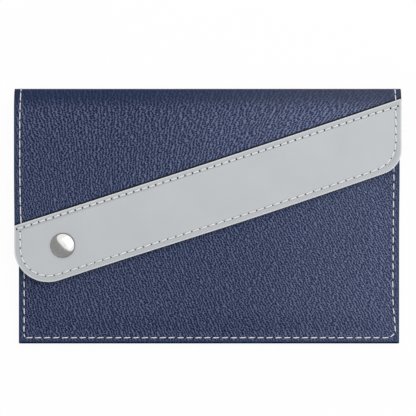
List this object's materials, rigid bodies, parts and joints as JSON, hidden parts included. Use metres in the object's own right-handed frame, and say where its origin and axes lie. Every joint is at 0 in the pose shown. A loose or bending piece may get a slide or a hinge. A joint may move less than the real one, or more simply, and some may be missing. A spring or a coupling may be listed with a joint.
{
  "type": "car document holder",
  "caption": "Flat leather document pocket sewn on three sides, closed by a slanted, banded flap with a press stud; boards, linings, card slots and a clear window inside.",
  "frame": {"origin": "middle of the bounding box's bottom, on the face of the back panel that the closed holder lies on", "axes": "+X to the right along the top fold, +Y from the bottom seam towards the fold, +Z out of the front"},
  "size_m": [0.2378, 0.1572, 0.0148],
  "materials": {
    "navy_leather": "pebbled grain, satin",
    "grey_leather": "smooth, satin",
    "lining": "fine woven lining",
    "grey_board": "raw pressed board",
    "white_thread": "twisted polyester thread",
    "nickel": "polished nickel plate",
    "spring_steel": "bright wire",
    "clear_sheet": "clear soft sheet"
  },
  "bodies": {
    "pocket": {"back_panel": "navy_leather", "back_board": "grey_board", "back_lining": "lining", "window_sheet": "clear_sheet", "window_frame": "navy_leather", "card_slot_1": "lining", "card_slot_2": "lining", "card_slot_3": "lining", "front_lining": "lining", "front_board": "grey_board", "front_panel": "navy_leather", "pocket_thread": "white_thread", "pocket_thread_under": "white_thread", "mouth_thread": "white_thread", "snap_stud": "nickel", "stud_rivet": "nickel", "back_fold": "navy_leather"},
    "spine": {"spine_panel": "navy_leather", "spine_lining": "lining", "flap_fold": "navy_leather"},
    "flap": {"flap_lining": "lining", "flap_board": "grey_board", "flap_panel": "navy_leather", "flap_band": "grey_leather", "band_thread": "white_thread", "band_thread_under": "white_thread", "flap_side_thread": "white_thread", "snap_cap": "nickel", "snap_socket": "nickel", "snap_spring": "spring_steel"}
  },
  "joints": [
    {"name": "spine_hinge", "type": "hinge", "parent": "pocket", "child": "spine", "pos_m": [0, 0.0775, 0.0011], "axis": [-1, 0, 0], "range_deg": [0, 90], "deforming": ["back_fold"]},
    {"name": "flap_hinge", "type": "hinge", "parent": "spine", "child": "flap", "pos_m": [0, 0.0775, 0.0105], "axis": [-1, 0, 0], "range_deg": [0, 90], "deforming": ["flap_fold"]}
  ]
}
